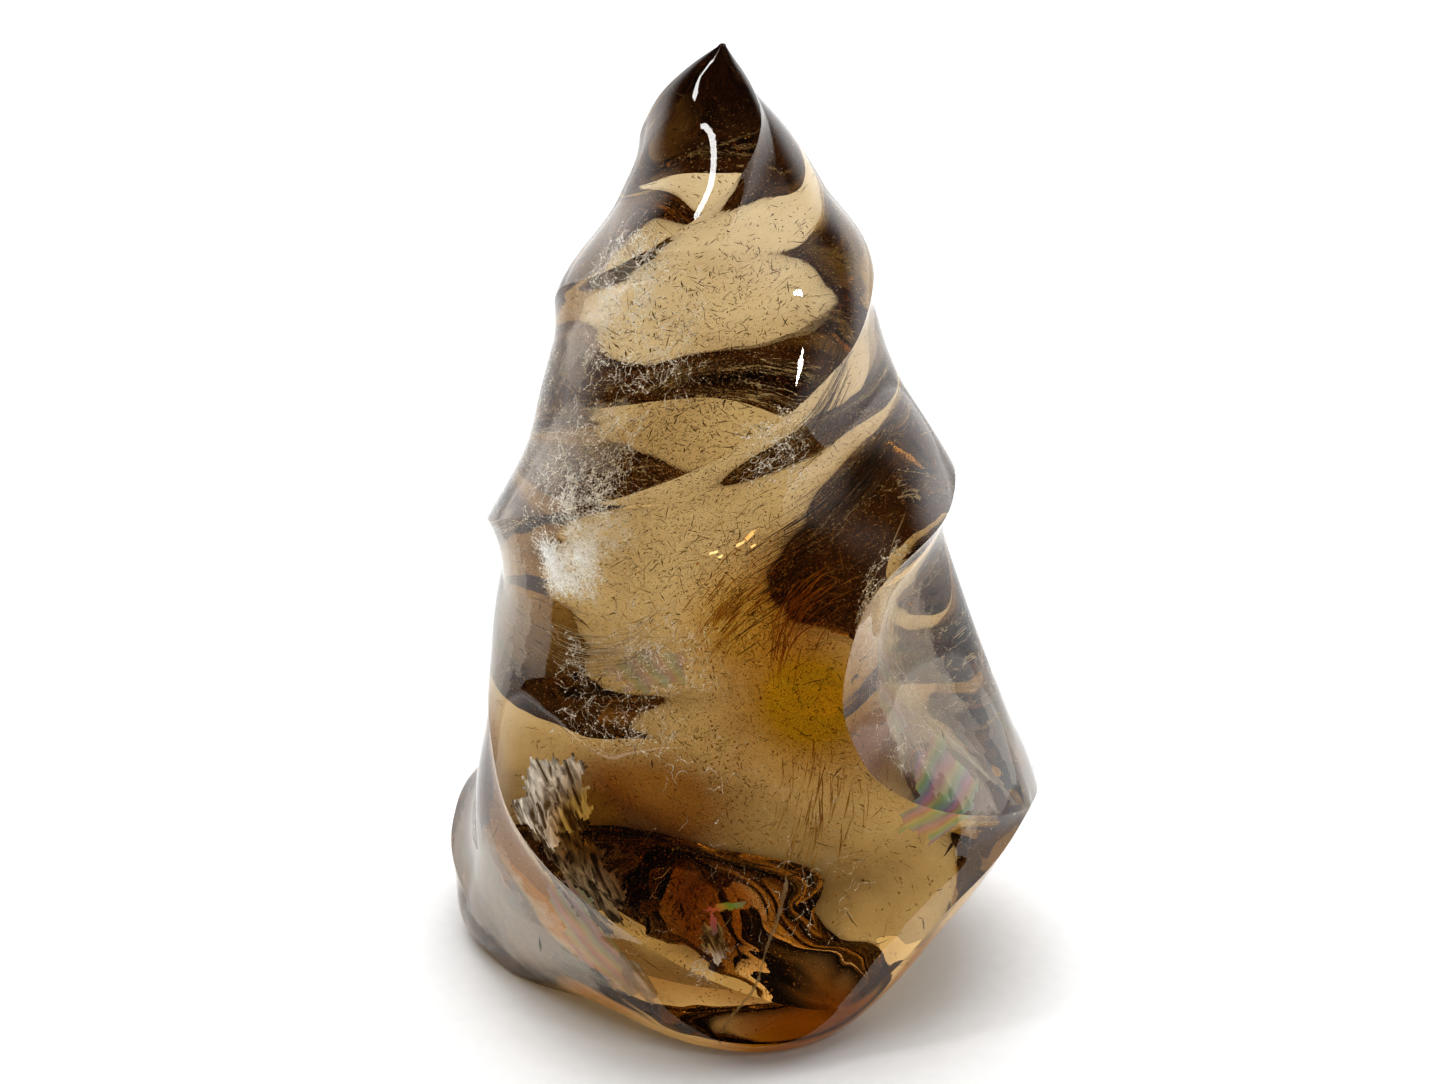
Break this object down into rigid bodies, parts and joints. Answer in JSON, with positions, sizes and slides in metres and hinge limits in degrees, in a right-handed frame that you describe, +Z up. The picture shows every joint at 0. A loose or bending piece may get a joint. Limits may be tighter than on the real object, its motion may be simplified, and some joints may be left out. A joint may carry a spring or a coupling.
{
  "type": "smoky quartz flame",
  "caption": "Polished see-through smoky quartz carved as a rising twisted flame, with sharp winding crests over hollow flutes, standing on a flat base as an ornament.",
  "frame": {"origin": "on the flat base, straight below the tip", "axes": "+Z up from the base to the tip, -Y towards the front with the large scoop, +X to the right seen from the front"},
  "size_m": [0.0969, 0.0858, 0.15],
  "materials": {
    "smoky_quartz": "polished"
  },
  "bodies": {
    "root": {"flame": "smoky_quartz"}
  },
  "joints": []
}
